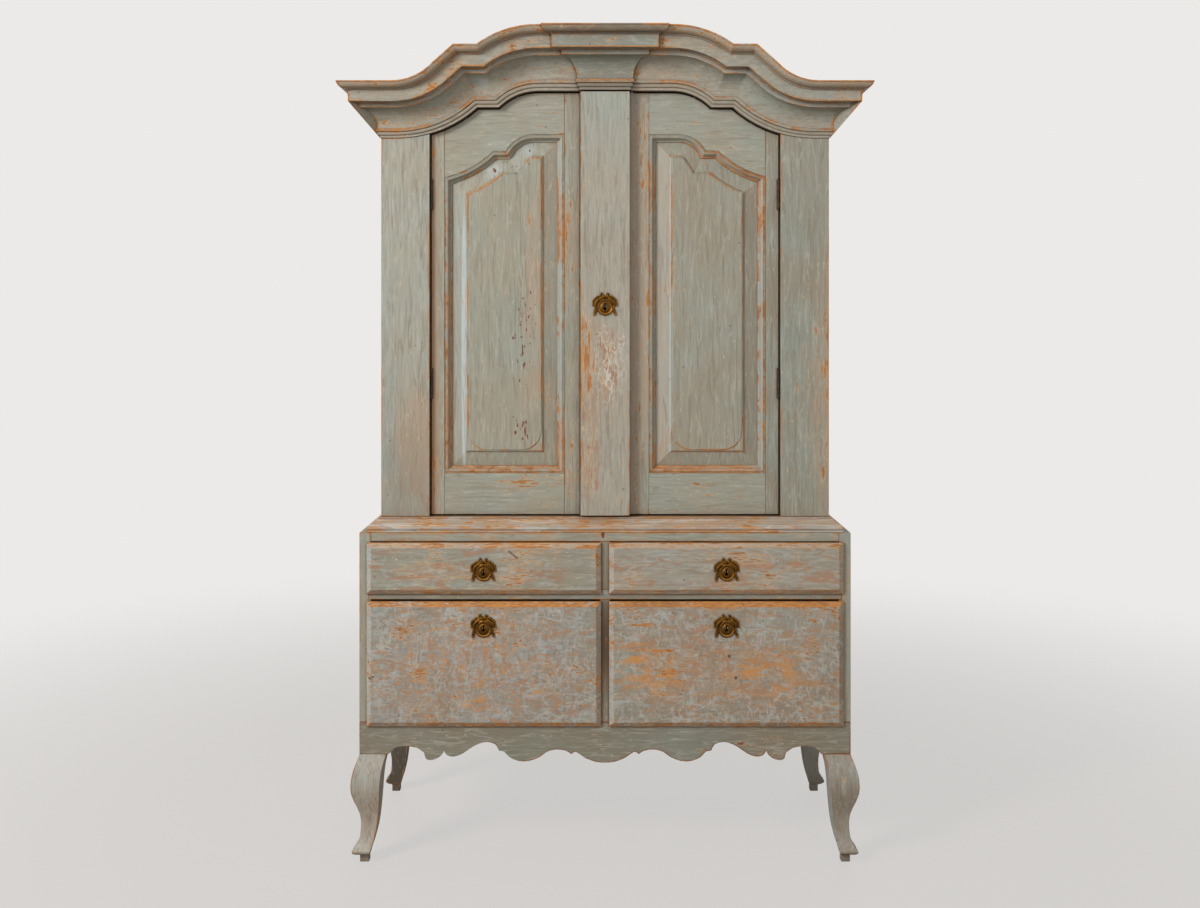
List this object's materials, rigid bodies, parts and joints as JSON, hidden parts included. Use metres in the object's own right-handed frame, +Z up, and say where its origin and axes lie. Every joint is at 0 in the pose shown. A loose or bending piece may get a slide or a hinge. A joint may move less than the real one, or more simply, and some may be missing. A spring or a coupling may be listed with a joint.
{
  "type": "cupboard on a case of drawers",
  "caption": "Painted two-part storage cabinet: arched cupboard with panelled doors and moulded cornice on a case of drawers with a shaped apron and cabriole legs.",
  "frame": {"origin": "floor level, under the middle of the bounding box", "axes": "+Z up; the doors and drawers face -Y; +X to the right for someone who faces the doors"},
  "size_m": [1.1336, 0.5096, 1.7835],
  "materials": {
    "painted_pine": "old grey-green oil paint over pine, rubbed through to orange-brown wood at the edges",
    "raw_pine": "bare pine, planed and darkened with age",
    "cast_brass": "cast brass, darkened and rubbed bright on its high points",
    "forged_iron": "forged iron, dull and slightly rusted"
  },
  "bodies": {
    "case": {"base_side_left": "painted_pine", "base_side_right": "painted_pine", "base_bottom": "raw_pine", "dust_board": "painted_pine", "base_back": "raw_pine", "centre_partition": "painted_pine", "top_rail": "painted_pine", "apron": "painted_pine", "leg_front_left": "painted_pine", "leg_front_right": "painted_pine", "leg_rear_left": "painted_pine", "leg_rear_right": "painted_pine", "waist_board": "painted_pine", "upper_side_left": "painted_pine", "upper_side_right": "painted_pine", "upper_bottom": "raw_pine", "shelf": "raw_pine", "roof": "raw_pine", "upper_back": "raw_pine", "face_stile_left": "painted_pine", "face_stile_right": "painted_pine", "cornice_front": "painted_pine", "keystone": "painted_pine", "cornice_return_left": "painted_pine", "cornice_return_right": "painted_pine", "hinge_fixed_lower_left": "forged_iron", "hinge_fixed_upper_left": "forged_iron", "hinge_fixed_lower_right": "forged_iron", "hinge_fixed_upper_right": "forged_iron"},
    "door_left": {"hinge_stile_left": "painted_pine", "meeting_stile_left": "painted_pine", "door_top_rail_left": "painted_pine", "door_bottom_rail_left": "painted_pine", "panel_moulding_left": "painted_pine", "door_panel_left": "painted_pine", "hinge_moving_lower_left": "forged_iron", "hinge_moving_upper_left": "forged_iron"},
    "door_right": {"hinge_stile_right": "painted_pine", "meeting_stile_right": "painted_pine", "door_top_rail_right": "painted_pine", "door_bottom_rail_right": "painted_pine", "panel_moulding_right": "painted_pine", "door_panel_right": "painted_pine", "hinge_moving_lower_right": "forged_iron", "hinge_moving_upper_right": "forged_iron", "pilaster": "painted_pine", "key_plate_door": "cast_brass", "door_lock": "forged_iron"},
    "drawer_lower_left": {"drawer_front_lower_left": "painted_pine", "drawer_tray_lower_left": "raw_pine", "key_plate_lower_left": "cast_brass"},
    "drawer_lower_right": {"drawer_front_lower_right": "painted_pine", "drawer_tray_lower_right": "raw_pine", "key_plate_lower_right": "cast_brass"},
    "drawer_upper_left": {"drawer_front_upper_left": "painted_pine", "drawer_tray_upper_left": "raw_pine", "key_plate_upper_left": "cast_brass"},
    "drawer_upper_right": {"drawer_front_upper_right": "painted_pine", "drawer_tray_upper_right": "raw_pine", "key_plate_upper_right": "cast_brass"}
  },
  "joints": [
    {"name": "door_left_swing", "type": "hinge", "parent": "case", "child": "door_left", "pos_m": [-0.376, -0.15405, 1.15], "axis": [0, 0, -1], "range_deg": [0, 95]},
    {"name": "door_right_swing", "type": "hinge", "parent": "case", "child": "door_right", "pos_m": [0.376, -0.15405, 1.15], "axis": [0, 0, 1], "range_deg": [0, 95]},
    {"name": "drawer_lower_left_slide", "type": "slide", "parent": "case", "child": "drawer_lower_left", "axis": [0, -1, 0], "range_m": [0, 0.3]},
    {"name": "drawer_lower_right_slide", "type": "slide", "parent": "case", "child": "drawer_lower_right", "axis": [0, -1, 0], "range_m": [0, 0.3]},
    {"name": "drawer_upper_left_slide", "type": "slide", "parent": "case", "child": "drawer_upper_left", "axis": [0, -1, 0], "range_m": [0, 0.3]},
    {"name": "drawer_upper_right_slide", "type": "slide", "parent": "case", "child": "drawer_upper_right", "axis": [0, -1, 0], "range_m": [0, 0.3]}
  ]
}
